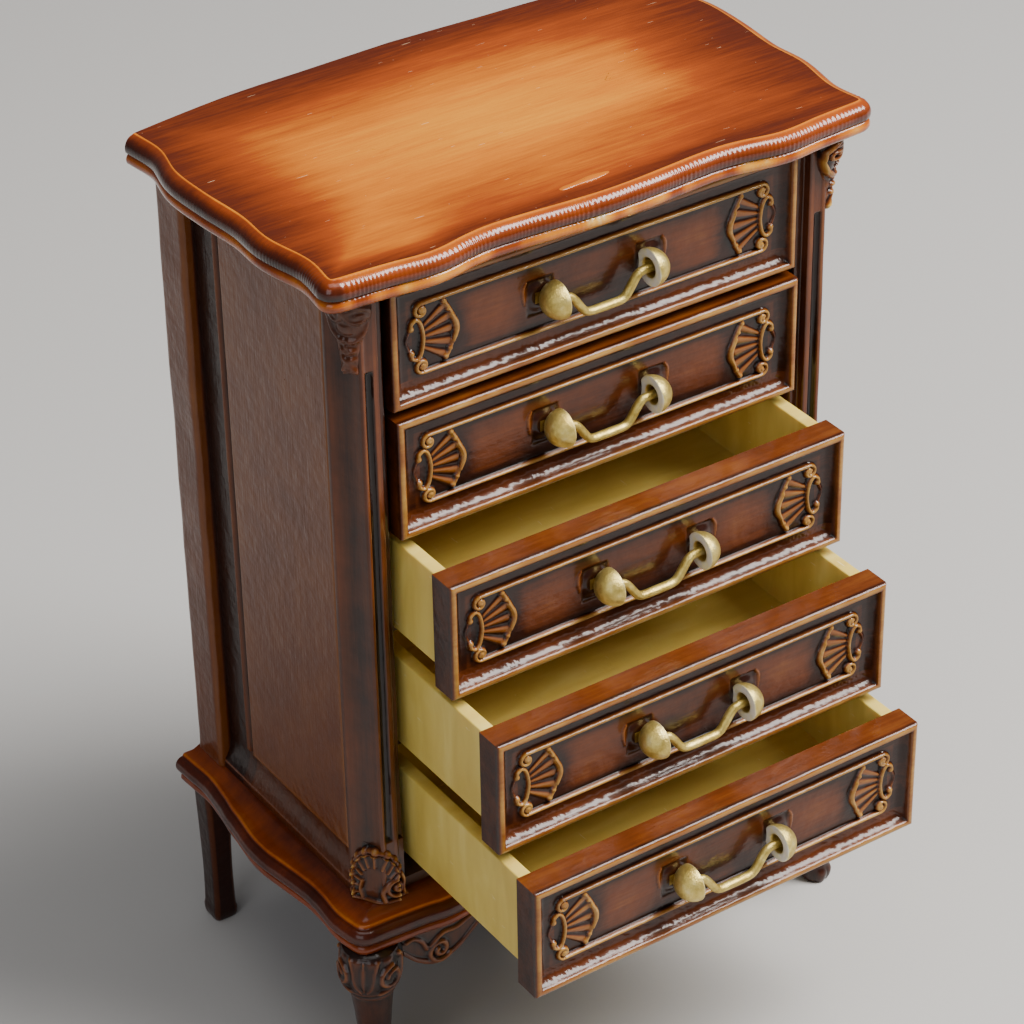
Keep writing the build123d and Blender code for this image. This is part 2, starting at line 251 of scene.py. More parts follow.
def place(name, me, material, body, nodes, at=(0, 0, 0)):
    """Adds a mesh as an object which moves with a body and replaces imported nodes."""
    if not me.materials:
        me.materials.append(material)
    ob = add_object(name, me)
    ob.location = Vector(at) * MM
    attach(ob, body)
    if nodes:
        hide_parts(*nodes)
    return ob


def case_piece(packed, ending, shape, sharp, material):
    """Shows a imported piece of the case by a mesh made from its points, faces and tones."""
    me = mesh_of(packed + ending, *shape, sharp)
    place(packed + ending, me, material, "cabinet", [packed])


def grid_faces(n, m, wrap=False):
    idx = np.arange(n * m).reshape(n, m)
    if wrap:
        idx = np.concatenate([idx, idx[:, :1]], 1)
    return np.stack([idx[:-1, :-1], idx[1:, :-1], idx[1:, 1:], idx[:-1, 1:]], -1).reshape(-1, 4).tolist()


def border(n, m):
    """The points round the edge of an n by m grid, in order."""
    idx = np.arange(n * m).reshape(n, m)
    return np.concatenate([idx[:-1, 0], idx[-1, :-1], idx[:0:-1, -1], idx[0, :0:-1]])


def band(a, b):
    """The faces between two closed loops of points."""
    return np.stack([a, b, np.roll(b, -1), np.roll(a, -1)], -1).tolist()


def around(count):
    """Angles all the way round, an even step apart."""
    return np.linspace(0, 2 * math.pi, count, endpoint=False)


def level_ring(x, y, z):
    return np.column_stack([x, y, np.full(len(x), z)])


def loft(rings, tones):
    """Closed rings joined into a skin with flat ends. A ring has one tone or one for each point."""
    rings = np.asarray(rings, float)
    n, m = rings.shape[:2]
    faces = grid_faces(n, m, wrap=True)
    faces.append(list(range(m)))
    faces.append(list(range((n - 1) * m, n * m))[::-1])
    return rings.reshape(-1, 3), faces, np.concatenate([np.broadcast_to(tone, m) for tone in tones])


def plate(front, back, tone, back_tone):
    """A grid of front points, closed behind by the points that its border has at the back."""
    n, m = front.shape[:2]
    loop = border(n, m)
    rear = np.arange(len(loop)) + n * m
    faces = grid_faces(n, m) + band(loop, rear)
    faces.append(rear[::-1].tolist())
    verts = np.vstack([front.reshape(-1, 3), back.reshape(-1, 3)[loop]])
    return verts, faces, np.concatenate([tone.reshape(-1), np.full(len(loop), back_tone)])


def slab(u, v, depth, tone, back, side_tone):
    """A grid pushed in by depth, with plain sides and a flat back. Its points are (u, depth, v)."""
    gu, gv = grid(u, v)
    verts = [np.stack([gu, depth, gv], -1).reshape(-1, 3)]
    tones = [tone.reshape(-1)]
    faces = grid_faces(*gu.shape)
    last = border(*gu.shape)
    edge = verts[0][last]
    sides = np.where(edge[:, 2] > v[-1] - 1e-6, side_tone[1], side_tone[0])
    outer = np.maximum(edge[:, 1], 0) + 0.02
    for level in (0.12, 0.3, 1.0):
        now = np.arange(len(edge)) + sum(len(part) for part in verts)
        faces += band(last, now)
        verts.append(np.column_stack([edge[:, 0], outer + (back - outer) * level, edge[:, 2]]))
        tones.append(sides)
        last = now
    faces.append(last[::-1].tolist())
    return np.vstack(verts), faces, np.concatenate(tones)


# ---------------- materials

def node(nt, kind, inputs=None, **settings):
    n = nt.nodes.new(kind)
    for key, value in settings.items():
        setattr(n, key, value)
    for key, value in (inputs or {}).items():
        if isinstance(value, bpy.types.NodeSocket):
            nt.links.new(value, n.inputs[key])
        else:
            n.inputs[key].default_value = value
    return n


def math_node(nt, operation, a, b=0.0, clamp=False):
    return node(nt, "ShaderNodeMath", {0: a, 1: b}, operation=operation, use_clamp=clamp).outputs[0]


def ramp(nt, fac, stops):
    n = node(nt, "ShaderNodeValToRGB", {"Fac": fac})
    while len(n.color_ramp.elements) < len(stops):
        n.color_ramp.elements.new(0.5)
    for element, (position, colour) in zip(n.color_ramp.elements, stops):
        element.position = position
        element.color = (*colour, 1)
    return n.outputs[0]


def mix(nt, fac, a, b):
    return node(nt, "ShaderNodeMix", {0: fac, 6: a, 7: b}, data_type="RGBA").outputs[2]


def vary(nt, value, texture, amount):
    """A value moved up and down by a texture."""
    change = math_node(nt, "MULTIPLY", math_node(nt, "SUBTRACT", texture, 0.5), amount)
    return math_node(nt, "ADD", value, change)


def above(nt, value, level, gain):
    """How far a value is over a level, times a gain, between 0 and 1."""
    return math_node(nt, "MULTIPLY", math_node(nt, "SUBTRACT", value, level), gain, clamp=True)


def millimetres(nt, stretch=(1, 1, 1)):
    """Object coordinates in millimetres, shifted by a different amount on each object."""
    coords = node(nt, "ShaderNodeTexCoord").outputs["Object"]
    info = node(nt, "ShaderNodeObjectInfo").outputs["Random"]
    shift = math_node(nt, "MULTIPLY", info, 0.35)
    moved = node(nt, "ShaderNodeVectorMath", {0: coords, 1: shift}, operation="ADD").outputs[0]
    scale = tuple(1000.0 * s for s in stretch)
    return node(nt, "ShaderNodeMapping", {"Vector": moved, "Scale": scale}).outputs[0]


def noise(nt, vector, scale, detail=4.0, roughness=0.55, distortion=0.0):
    return node(nt, "ShaderNodeTexNoise", {"Vector": vector, "Scale": scale, "Detail": detail,
                                           "Roughness": roughness, "Distortion": distortion}).outputs[0]


def start_material(name, **constants):
    m = bpy.data.materials.new(name)
    m.use_nodes = True
    shader = m.node_tree.nodes["Principled BSDF"]
    for key, value in constants.items():
        shader.inputs[key.replace("_", " ")].default_value = value
    return m, m.node_tree, shader


def set_surface(nt, shader, colour, patches, roughness, height, depth):
    """A colour, uneven roughness between two values, and a bump with a depth in millimetres."""
    nt.links.new(colour, shader.inputs["Base Color"])
    rough = node(nt, "ShaderNodeMapRange", {"Value": patches, "To Min": roughness[0], "To Max": roughness[1]})
    nt.links.new(rough.outputs[0], shader.inputs["Roughness"])
    bump = node(nt, "ShaderNodeBump", {"Height": height, "Strength": 1.0, "Distance": depth * MM}).outputs[0]
    nt.links.new(bump, shader.inputs["Normal"])
    return bump


def lacquer(name, stops, along="X", streak=0.22, blotch=0.16, peel=0.06, wear=0.0, gloss=(0.22, 0.42),
            coat=0.06, speck=0.0, coat_share=0.6):
    """Brushed wood-effect paint under clear gloss. The tone attribute runs from painted shade in hollows to
    worn ridges, with painted highlights in places.
    """
    m, nt, shader = start_material(name, Coat_Weight=coat_share, Coat_Roughness=coat, Coat_IOR=1.42, IOR=1.45,
                                   Specular_IOR_Level=0.2)
    tone = node(nt, "ShaderNodeAttribute", attribute_name="tone").outputs["Fac"]
    stretch = {"X": (0.07, 1, 1), "Y": (1, 0.07, 1), "Z": (1, 1, 0.07)}[along]
    long_mm = millimetres(nt, stretch)
    mm = millimetres(nt)
    fine = noise(nt, long_mm, 2.6, 6.0, 0.62, 0.3)
    broad = noise(nt, long_mm, 0.45, 3.0, 0.5)
    patch = noise(nt, mm, 0.16, 4.0, 0.6)
    value = vary(nt, vary(nt, vary(nt, tone, fine, streak), broad, streak), patch, blotch * 2)
    colour = ramp(nt, value, stops)
    if wear > 0:
        rubbed = noise(nt, mm, 0.75, 5.0, 0.65)
        high = above(nt, tone, 0.72, 4.0)
        share = above(nt, rubbed, 0.62 - 0.12 * wear, 9.0)
        bare = mix(nt, noise(nt, mm, 1.7), (0.46, 0.36, 0.12, 1), (0.72, 0.62, 0.38, 1))
        colour = mix(nt, math_node(nt, "MULTIPLY", high, share), colour, bare)
    if speck > 0:
        dust = node(nt, "ShaderNodeTexVoronoi", {"Vector": mm, "Scale": 0.55, "Randomness": 1.0})
        dots = math_node(nt, "LESS_THAN", dust.outputs["Distance"], 0.022)
        line = noise(nt, long_mm, 5.5, 2.0, 0.4)
        scratch = math_node(nt, "GREATER_THAN", line, 0.765)
        both = math_node(nt, "MULTIPLY", math_node(nt, "MAXIMUM", dots, scratch), speck, clamp=True)
        colour = mix(nt, both, colour, (0.75, 0.55, 0.34, 1))
    skin = noise(nt, mm, 0.8, 2.0, 0.45)
    brush = noise(nt, long_mm, 3.4, 4.0, 0.6)
    height = math_node(nt, "ADD", skin, math_node(nt, "MULTIPLY", brush, 0.35))
    bump = set_surface(nt, shader, colour, noise(nt, mm, 0.9, 5.0), gloss, height, peel)
    nt.links.new(bump, shader.inputs["Coat Normal"])
    return m


BROWN = ((0.0, (0.004, 0.0012, 0.0008)), (0.2, (0.022, 0.0045, 0.0014)), (0.42, (0.11, 0.025, 0.004)),
         (0.62, (0.22, 0.072, 0.011)), (0.8, (0.38, 0.195, 0.040)), (1.0, (0.58, 0.40, 0.12)))
AMBER = ((0.0, (0.016, 0.0025, 0.001)), (0.2, (0.080, 0.011, 0.0015)), (0.42, (0.26, 0.044, 0.003)),
         (0.62, (0.50, 0.140, 0.005)), (0.8, (0.64, 0.25, 0.010)), (1.0, (0.78, 0.44, 0.08)))

brown = lacquer("lacquer_brown", BROWN, "X", wear=0.5)
brown_upright = lacquer("lacquer_brown_upright", BROWN, "Z", streak=0.16, peel=0.05)
side_brown = lacquer("lacquer_side", BROWN, "Z", streak=0.06, blotch=0.10, peel=0.09, coat=0.05,
                     coat_share=0.42)
moulding = lacquer("lacquer_moulding", AMBER, "X", streak=0.12, peel=0.03, wear=1.1, coat=0.11,
                   coat_share=1.0)
amber = lacquer("lacquer_top", AMBER, "X", streak=0.24, blotch=0.0, peel=0.02, speck=0.5, coat=0.10,
                gloss=(0.35, 0.55))
plinth_coat = lacquer("lacquer_plinth", AMBER, "X", streak=0.12, blotch=0.20, peel=0.04, wear=0.5, coat=0.04)
carved = lacquer("lacquer_carved", BROWN, "Z", streak=0.18, blotch=0.14, peel=0.03, wear=0.25, coat=0.07,
                 gloss=(0.28, 0.5))


def moulded_plastic():
    m, nt, shader = start_material("ivory_plastic", IOR=1.5, Subsurface_Weight=0.25, Subsurface_Scale=0.0015)
    shader.inputs["Subsurface Radius"].default_value = (1.0, 0.7, 0.3)
    mm = millimetres(nt)
    flow = noise(nt, millimetres(nt, (0.25, 1, 0.25)), 0.35, 4.0, 0.5, 0.6)
    colour = ramp(nt, flow, ((0.2, (0.55, 0.375, 0.065)), (0.55, (0.66, 0.49, 0.11)),
                             (0.85, (0.76, 0.62, 0.20))))
    scratches = noise(nt, millimetres(nt, (1, 0.15, 1)), 2.5, 3.0, 0.6)
    colour = mix(nt, math_node(nt, "MULTIPLY", math_node(nt, "GREATER_THAN", scratches, 0.71), 0.35),
                 colour, (0.86, 0.80, 0.58, 1))
    set_surface(nt, shader, colour, noise(nt, mm, 1.3, 5.0), (0.34, 0.5), noise(nt, mm, 2.2, 5.0, 0.6), 0.02)
    return m


def inner_plastic():
    # Near-black brown for the pieces inside the case: painted shade.
    m, nt, shader = start_material("bare_plastic", IOR=1.5)
    mm = millimetres(nt)
    colour = ramp(nt, noise(nt, millimetres(nt, (1, 0.12, 1)), 0.8, 5.0, 0.6),
                  ((0.2, (0.03, 0.012, 0.006)), (0.8, (0.085, 0.034, 0.015))))
    set_surface(nt, shader, colour, noise(nt, mm, 1.0, 5.0), (0.4, 0.6), noise(nt, mm, 2.0, 4.0), 0.03)
    return m


def gold_paint():
    m, nt, shader = start_material("gold_paint", IOR=1.5, Specular_IOR_Level=0.5)
    mm = millimetres(nt)
    tone = node(nt, "ShaderNodeAttribute", attribute_name="tone").outputs["Fac"]
    value = vary(nt, tone, noise(nt, mm, 0.9, 4.0, 0.6), 0.8)
    colour = ramp(nt, value, ((0.0, (0.10, 0.055, 0.015)), (0.35, (0.42, 0.29, 0.06)),
                              (0.6, (0.70, 0.55, 0.16)), (0.85, (0.88, 0.80, 0.46)),
                              (1.0, (0.80, 0.75, 0.66))))
    metal = node(nt, "ShaderNodeMapRange", {"Value": tone, "From Min": 0.75, "From Max": 1.0, "To Min": 0.8,
                                            "To Max": 0.1})
    nt.links.new(metal.outputs[0], shader.inputs["Metallic"])
    grit = noise(nt, mm, 6.0, 3.0, 0.7)
    height = math_node(nt, "ADD", grit, noise(nt, mm, 2.0, 3.0))
    set_surface(nt, shader, colour, grit, (0.24, 0.5), height, 0.05)
    return m


ivory = moulded_plastic()
inner = inner_plastic()
gold = gold_paint()


# ---------------- wavy boards

CORNER_BLUR = 0.55
CORNER_REACH = 1.9


def edge_path(side_wave, back_y, step):
    """The wavy outline from the back left corner round the front to the back right, and its normals."""
    right = [(share * EDGE_HALF, EDGE_FRONT - bow) for share, bow in FRONT_WAVE]
    front = curve([(-x, y) for x, y in reversed(right[1:])] + right, step)
    side = curve([(EDGE_HALF + bow, EDGE_FRONT + share * OUTLINE_DEPTH) for share, bow in side_wave], step)
    side = side[side[:, 1] <= back_y]
    left = (side * (-1, 1))[::-1]
    path = np.vstack([left, front[1:-1], side])
    soft = soften(path, int(CORNER_BLUR / step))
    to_corner = np.hypot(np.abs(path[:, 0]) - EDGE_HALF, path[:, 1] - EDGE_FRONT)
    path = blend(path, soft, np.exp(-(to_corner / CORNER_REACH) ** 4)[:, None])
    return path, outward(path)


def closed_ring(points, z, back):
    """Adds the back edge to a ring of edge points."""
    limit = back(np.abs(points[:, 0]))
    points = np.stack([points[:, 0], np.minimum(points[:, 1], limit)], 1)
    x = np.linspace(points[-1, 0], points[0, 0], 62)[1:-1]
    height = np.concatenate([np.broadcast_to(z, len(points)), np.full(len(x), np.mean(z))])
    return np.column_stack([np.vstack([points, np.stack([x, back(np.abs(x))], 1)]), height])


def top_back(x):
    shares, bows = zip(*TOP_BACK_WAVE)
    line = curve([(s * EDGE_HALF, 17.7 + b) for s, b in zip(shares, bows)], 0.2)
    return np.interp(x, line[:, 0], line[:, 1])


def plinth_back(x):
    return np.full(np.shape(x), PLINTH_BACK)


def arc(centre, radii, start, stop, count):
    angle = np.radians(np.linspace(start, stop, count))
    return [(centre[0] + radii[0] * math.cos(a), centre[1] + radii[1] * math.sin(a)) for a in angle]


def top_moulding():
    step = 0.095
    path, normal = edge_path(TOP_SIDE_WAVE, TOP_SIDE_END, step)
    run = np.arange(len(path)) * step
    ripple = np.sin(2 * math.pi * (run / 0.47 + 0.5 * np.sin(run / 2.3) + 0.3 * np.sin(run / 0.9)))
    ripple *= 0.6 + 0.4 * np.sin(run / 3.7) * np.sin(run / 1.3)
    ripple *= 1 - 0.85 * smooth_step(-13.5, -5, path[:, 1])
    uneven = wobble(run, seed=3, scale=0.35)
    # (push out, height, tone, ripple share)
    profile = [(-0.7, TOP_Z - 0.12, 0.4, 0), (-0.28, TOP_Z - 0.04, 0.4, 0), (-0.10, TOP_Z, 0.62, 0),
               (0.02, TOP_Z - 0.02, 0.64, 0.2), (0.10, TOP_Z - 0.07, 0.52, 0.5)]
    # The ovolo is painted darker towards its foot, and the cove under it and the underside near black:
    # painted shade.
    for a, z in arc((0.12, TOP_Z - 1.30), (1.08, 1.20), 82, -22, 15):
        profile.append((a, z, 0.48 - 0.26 * (TOP_Z - z) / 1.3, 1.0))
    profile += [(1.02, TOP_Z - 1.66, 0.12, 0.3), (0.84, TOP_Z - 1.74, 0.10, 0.1),
                (0.80, TOP_Z - 1.84, 0.20, 0)]
    for a, z in arc((0.62, TOP_Z - 2.52), (0.54, 0.66), 80, -70, 11):
        profile.append((a, z, 0.60 - 0.22 * abs(z - TOP_Z + 2.3), 0.35))
    profile += [(0.70, TOP_Z - 3.18, 0.25, 0), (0.45, TOP_Z - 3.28, 0.15, 0), (-0.4, CASE_TOP, 0.12, 0),
                (-2.4, CASE_TOP, 0.1, 0)]
    rings = []
    tones = []
    for a, z, tone, share in profile:
        push = a + share * 0.030 * ripple + 0.05 * uneven * (a > 0)
        height = z + share * 0.018 * np.roll(ripple, 1)
        ring = closed_ring(path + normal * push[:, None], height, top_back)
        rings.append(ring)
        # The left flank is painted darker, as shade; the paler patches on the lower roll are wear.
        flank = smooth_step(-29.5, -30.4, ring[:, 0])
        if 0.38 < tone <= 0.60 and z < TOP_Z - 1.9:
            patch = wobble(ring[:, 0], ring[:, 1], seed=9, scale=0.5) * smooth_step(8, -6, ring[:, 1])
            tones.append(tone + 0.34 * np.clip(patch + 0.15, -0.6, 1) * (1 - 0.7 * flank) - 0.12 * flank)
        else:
            tones.append(tone - 0.16 * flank * (share > 0.3))
    me = mesh_of("top_moulding", *loft(rings, tones), 75)
    place("top_moulding", me, moulding, "cabinet", ["top_board"])


def top_face():
    """The flat top, as rings which shrink from the outline onto a short middle line."""
    path, normal = edge_path(TOP_SIDE_WAVE, TOP_SIDE_END, 0.4)
    outline = closed_ring(path - normal * 0.12, TOP_Z, top_back)[:, :2]
    middle = np.stack([outline[:, 0] * 0.42, np.full(len(outline), 0.3)], 1)
    rings = [blend(outline, middle, t) for t in np.append(np.linspace(0, 0.5, 22), np.linspace(0.56, 1, 8))]
    flat = np.vstack(rings)
    distance = np.min(np.linalg.norm(flat[:, None, :] - outline[None, ::2, :], axis=2), axis=1)
    front_edge = smooth_step(-8, -17, flat[:, 1])
    reach = 13.0 - 9.0 * front_edge + 1.6 * wobble(flat[:, 0], flat[:, 1], seed=8, scale=0.10)
    reach += 11.0 * smooth_step(10, 26, flat[:, 0])
    tone = 0.18 + 0.42 * smooth_step(-0.12, 1.1, distance / reach)
    # A painted pool of light on the middle of the top.
    tone += 0.09 * np.exp(-((flat[:, 0] + 3) / 17) ** 2 - ((flat[:, 1] + 1) / 9) ** 2)
    height = TOP_Z + 0.012 * wobble(flat[:, 0], flat[:, 1], seed=5, scale=0.5)
    height[distance < 0.3] = TOP_Z
    verts = np.column_stack([flat, height])
    faces = grid_faces(len(rings), len(outline), wrap=True)
    me = mesh_of("top_face", verts, faces, tone, 60)
    place("top_face", me, amber, "cabinet", [])


def lacquer_run():
    """A thick drop of clear lacquer near the front edge of the top."""
    r, a = grid(np.linspace(0.02, 1, 14), around(90))
    x = 3.0 * r * np.sign(np.cos(a)) * np.abs(np.cos(a)) ** 0.55
    waist = 0.85 + 0.15 * np.sin(1.6 * x + 0.6)
    y = -15.9 + 0.5 * r * np.sign(np.sin(a)) * np.abs(np.sin(a)) ** 0.8 * waist + 0.05 * x
    z = TOP_Z - 0.012 + 0.2 * np.sqrt(1 - r ** 2) * waist
    verts = np.stack([x - 1.1, y, z], -1).reshape(-1, 3)
    # Its tone, paler than the top round it, is a painted highlight.
    me = mesh_of("lacquer_run", verts, grid_faces(*r.shape, wrap=True), np.full(r.size, 0.56), 80)
    place("lacquer_run", me, amber, "cabinet", [])


def plinth():
    step = 0.15
    path, normal = edge_path(PLINTH_SIDE_WAVE, PLINTH_BACK, step)
    uneven = wobble(np.arange(len(path)) * step, seed=12, scale=0.4)
    foot = np.stack([np.clip(path[:, 0], -29.6, 29.6), np.clip(path[:, 1], -17.3, 17.2)], 1)
    rings = []
    tones = []

    def add(points, z, tone):
        rings.append(closed_ring(points, z, plinth_back))
        tones.append(tone)

    add(foot * 0.9, CASE_BOTTOM, 0.1)
    lip = path + normal * 0.18
    # Painted shade: the hollow beside the case darkens towards the case.
    for t in np.linspace(0, 1, 10):
        add(blend(foot, lip, t), 22.45 + 0.75 * (1 - t) ** 2.0, 0.22 + 0.20 * t)
    # (push out, height, tone)
    bands = [(0.30, 22.44, 0.48), (0.42, 22.34, 0.52), (0.50, 22.20, 0.32), (0.56, 22.10, 0.12)]
    # The upper roll is painted near black as a dark reflection, with painted shade under the lip, in the
    # groove below the roll and on the underside; the lower roll is paler.
    for a, z in arc((0.62, 21.15), (0.84, 0.98), 84, -72, 13):
        bands.append((a, z, 0.10 + 0.08 * max(0, z - 21.3)))
    bands += [(0.66, 20.14, 0.05), (0.62, 20.05, 0.15)]
    for a, z in arc((0.42, 19.42), (0.50, 0.60), 78, -70, 9):
        bands.append((a, z, 0.34 - 0.12 * abs(z - 19.6)))
    bands += [(0.3, LEG_TOP + 0.02, 0.2), (-0.6, LEG_TOP, 0.15), (-3.0, LEG_TOP, 0.12)]
    for a, z, tone in bands:
        push = a + 0.06 * uneven * (a > 0)
        add(path + normal * push[:, None], z, tone)
    me = mesh_of("plinth_moulding", *loft(rings, tones), 75)
    place("plinth_moulding", me, plinth_coat, "cabinet", ["base_plinth"])


# ---------------- case

def corner_line():
    """The right post's section, from the back of the inner strip round the front to the hollow's back."""
    chord = np.array([29.2 - 27.5, -13.9 + 17.1])
    inward = np.array([-chord[1], chord[0]]) / np.linalg.norm(chord)
    t = np.linspace(0, 1, 40)[:, None]
    hollow = np.array([27.5, -17.1]) + chord * t + inward * 0.3 * 4 * t * (1 - t)
    start = np.array([(24.35, -13.5), (24.35, -16.2), (25.35, -16.2), (25.35, -17.1)])
    return np.vstack([start, hollow, [(29.2, -13.5)]])


GROOVE_X = 26.5
GROOVE_HALF = 0.43
GROOVE_ENDS = (31.2, 85.8)


def post(side):
    line = soften(even(corner_line(), 0.11), 1)
    normal = outward(line)
    z = marks((CASE_BOTTOM, 29.5, 0.6), (29.5, 33.0, 0.14), (33.0, 84.0, 0.9), (84.0, 87.2, 0.14),
              (87.2, CASE_TOP, 0.6))
    x, y = line.T
    on_front = y < -17.0
    hollow = (x > 27.7) & (y < -13.95)
    scoop = 0.42 * np.sqrt(np.clip(1 - ((x - GROOVE_X) / GROOVE_HALF) ** 2, 0, 1)) * on_front
    crown = 0.10 * np.cos(np.clip((x - 27.18) / 0.34, -1, 1) * math.pi / 2) * on_front
    # Painted shade: the hollow is darker in its middle and the groove near black; the beads beside the groove
    # are paler, as painted highlight. The inner strip is darker.
    hollow_tone = 0.38 - 0.14 * np.sin(np.clip((y - CASE_FRONT) / 3.2, 0, 1) * math.pi)
    plain = np.select([hollow, x < 25.3, on_front & (np.abs(x - 25.8) < 0.14),
                       on_front & (np.abs(x - 27.15) < 0.16), on_front],
                      [hollow_tone, 0.26, 0.42, 0.47, 0.33], 0.30)
    rings = []
    tones = []
    for height in z:
        past_end = max(GROOVE_ENDS[0] - height, height - GROOVE_ENDS[1], 0.0) / 0.5
        groove = scoop * math.sqrt(max(0.0, 1 - past_end ** 2))
        hand = 0.03 * wobble(np.full(len(line), height), x, seed=21 + side, scale=0.35) * (y < -14)
        p = line + normal * (crown + hand - groove)[:, None]
        rings.append(level_ring(p[:, 0] * side, p[:, 1], height))
        # Painted shade in the groove.
        tones.append(np.where(groove > 0.12, 0.05, plain))
    case_piece(handed("corner_post", side), "_shell", loft(rings, tones), 60, brown_upright)


def corner_patch(side, name, s, z, height, tone):
    """A carving wrapped round a post's corner: s runs along the section, in from the drawers."""
    line = np.array([(23.9, -17.1), (27.35, -17.1), (27.75, -16.85), (29.2, -13.9), (29.25, -13.5)])
    fine = soften(even(line, 0.05), 9)
    run = offsets(fine)
    at, out = [np.stack([np.interp(s, run, way[:, k]) for k in (0, 1)], 1)[:, None]
               for way in (fine, outward(fine))]

    def wrapped(rise):
        plan = at + out * rise[:, :, None]
        return np.dstack([plan[..., 0] * side, plan[..., 1], np.broadcast_to(z, rise.shape)])

    shape = plate(wrapped(height), wrapped(np.full_like(height, -1.1)), tone, 0.05)
    case_piece(handed(name, side), "_carving", shape, 80, carved)


def bracket(side):
    s = np.arange(2.2, 7.25, 0.07)
    z = np.arange(86.0, CASE_TOP + 0.01, 0.07)
    gs, gz = grid(s, z)
    drop = ((86.0, -0.6), (86.35, 0.05), (86.7, 0.42), (87.3, 0.30), (87.9, 0.52), (88.5, 0.36), (89.1, 0.60),
            (89.8, 0.48), (90.6, 0.72), (91.6, 1.05), (92.8, 1.30), (93.8, 1.30), (CASE_TOP, 1.15))
    spine = np.interp(gz, *zip(*drop))
    middle = 4.45
    half = np.interp(gz, (86.0, 87.5, 89.5, 91.0, 93.0, CASE_TOP), (0.9, 1.05, 1.3, 1.9, 2.35, 2.5))
    across = np.clip(1 - ((gs - middle) / half) ** 2, 0, 1)
    body = spine * across ** 0.42 - 0.35 * (across <= 0)
    detail, carve, dot = carving(gs, gz)
    for sign in (-1, 1):
        def at(u, w):
            return (middle + sign * u, w)
        carve([at(0.15, 94.3), at(1.0, 94.1), at(1.9, 93.3), at(2.0, 92.2), at(1.5, 91.1), at(0.8, 90.2),
               at(0.35, 90.0)], 0.30, 0.42)
        carve(spiral(at(0.95, 92.9), 0.85, 0.15, 0.25, sign * 1.3), 0.20, 0.34)
        dot(at(0.30, 90.15), 0.36, 0.5)
        dot(at(0.42, 89.0), 0.34, 0.36)
        dot(at(0.40, 88.1), 0.32, 0.36)
        carve([at(0.1, 87.8), at(0.45, 87.1), at(0.75, 86.5)], 0.24, 0.34)
        for low in 0.35 * np.arange(3):
            carve([at(0.1, 91.0 + low), at(0.6, 91.25 + low)], 0.13, 0.22)
    carve([(middle, 94.5), (middle, 93.2)], 0.26, 0.36)
    for step in range(4):
        dot((middle, 87.2 + 0.75 * step), 0.30, 0.34)
    height = body + detail * np.clip(across * 3, 0, 1) - 0.10 * (detail < 0.02) * (across > 0)
    if side < 0:
        height = np.where(across > 0, blur(height, 2.0) * 0.72, height)
    # Paler raised carving and darker hollows are painted highlight and shade; the left bracket is painted
    # darker and with less contrast, as shade.
    tone = np.clip(0.34 + 0.02 * side + (1.1 + 0.7 * side) * standing_out(height, 3.5), 0.02, 1.0)
    corner_patch(side, "post_bracket", s, z, height, np.where(across > 0, tone, 0.05))


def palmette(side):
    s = np.arange(0.75, 7.2, 0.07)
    z = np.arange(CASE_BOTTOM, 30.25, 0.07)
    gs, gz = grid(s, z)
    arch = curve([(6.75, 23.4), (6.95, 25.2), (6.75, 27.0), (6.0, 28.7), (4.6, 29.65), (3.1, 29.3),
                  (2.1, 28.0), (1.7, 26.6)])
    from_middle = ((gs - 4.35) / 2.45) ** 2 + ((gz - 26.0) / 3.4) ** 2
    dish = 0.05 + 0.28 * (((gs - 4.35) / 2.4) ** 2 + ((gz - 26.0) / 3.4) ** 2)
    height = np.where((from_middle < 1) | ((np.abs(gs - 4.3) < 2.4) & (gz < 26)), dish, -0.3)
    detail, carve, dot = carving(gs, gz)
    root = np.array([4.35, 24.6])
    lobes = 10
    for k in range(lobes):
        tip = arch[int((k + 0.5) / lobes * (len(arch) - 1))]
        dot(tip, 0.50, 0.62)
        carve([tip, blend(tip, root, 0.38)], 0.17, 0.30)
    carve(arch, 0.34, 0.40)
    eye = (2.15, 24.75)
    carve(spiral(eye, 1.15, 0.15, 0.25, -1.4), 0.26, 0.52)
    carve(curve([(1.75, 26.6), (2.3, 26.0), (3.0, 25.6), (3.5, 24.6), (3.4, 23.5)]), 0.27, 0.46)
    carve(curve([(1.1, 23.5), (1.25, 24.4), (1.15, 25.4), (1.4, 26.2)]), 0.24, 0.40)
    dot(eye, 0.36, 0.66)
    carve(curve([(5.6, 23.5), (5.9, 24.5), (5.7, 25.6)]), 0.25, 0.35)
    carve([(0.8, 23.35), (7.1, 23.35)], 0.24, 0.34)
    height = np.where(detail > 0, np.maximum(height, 0) + detail, height)
    # Painted highlight on the raised carving and painted shade in its hollows.
    tone = np.clip(0.32 + 1.6 * standing_out(height, 3.5), 0.02, 1.0)
    corner_patch(side, "post_palmette", s, z, height, tone)


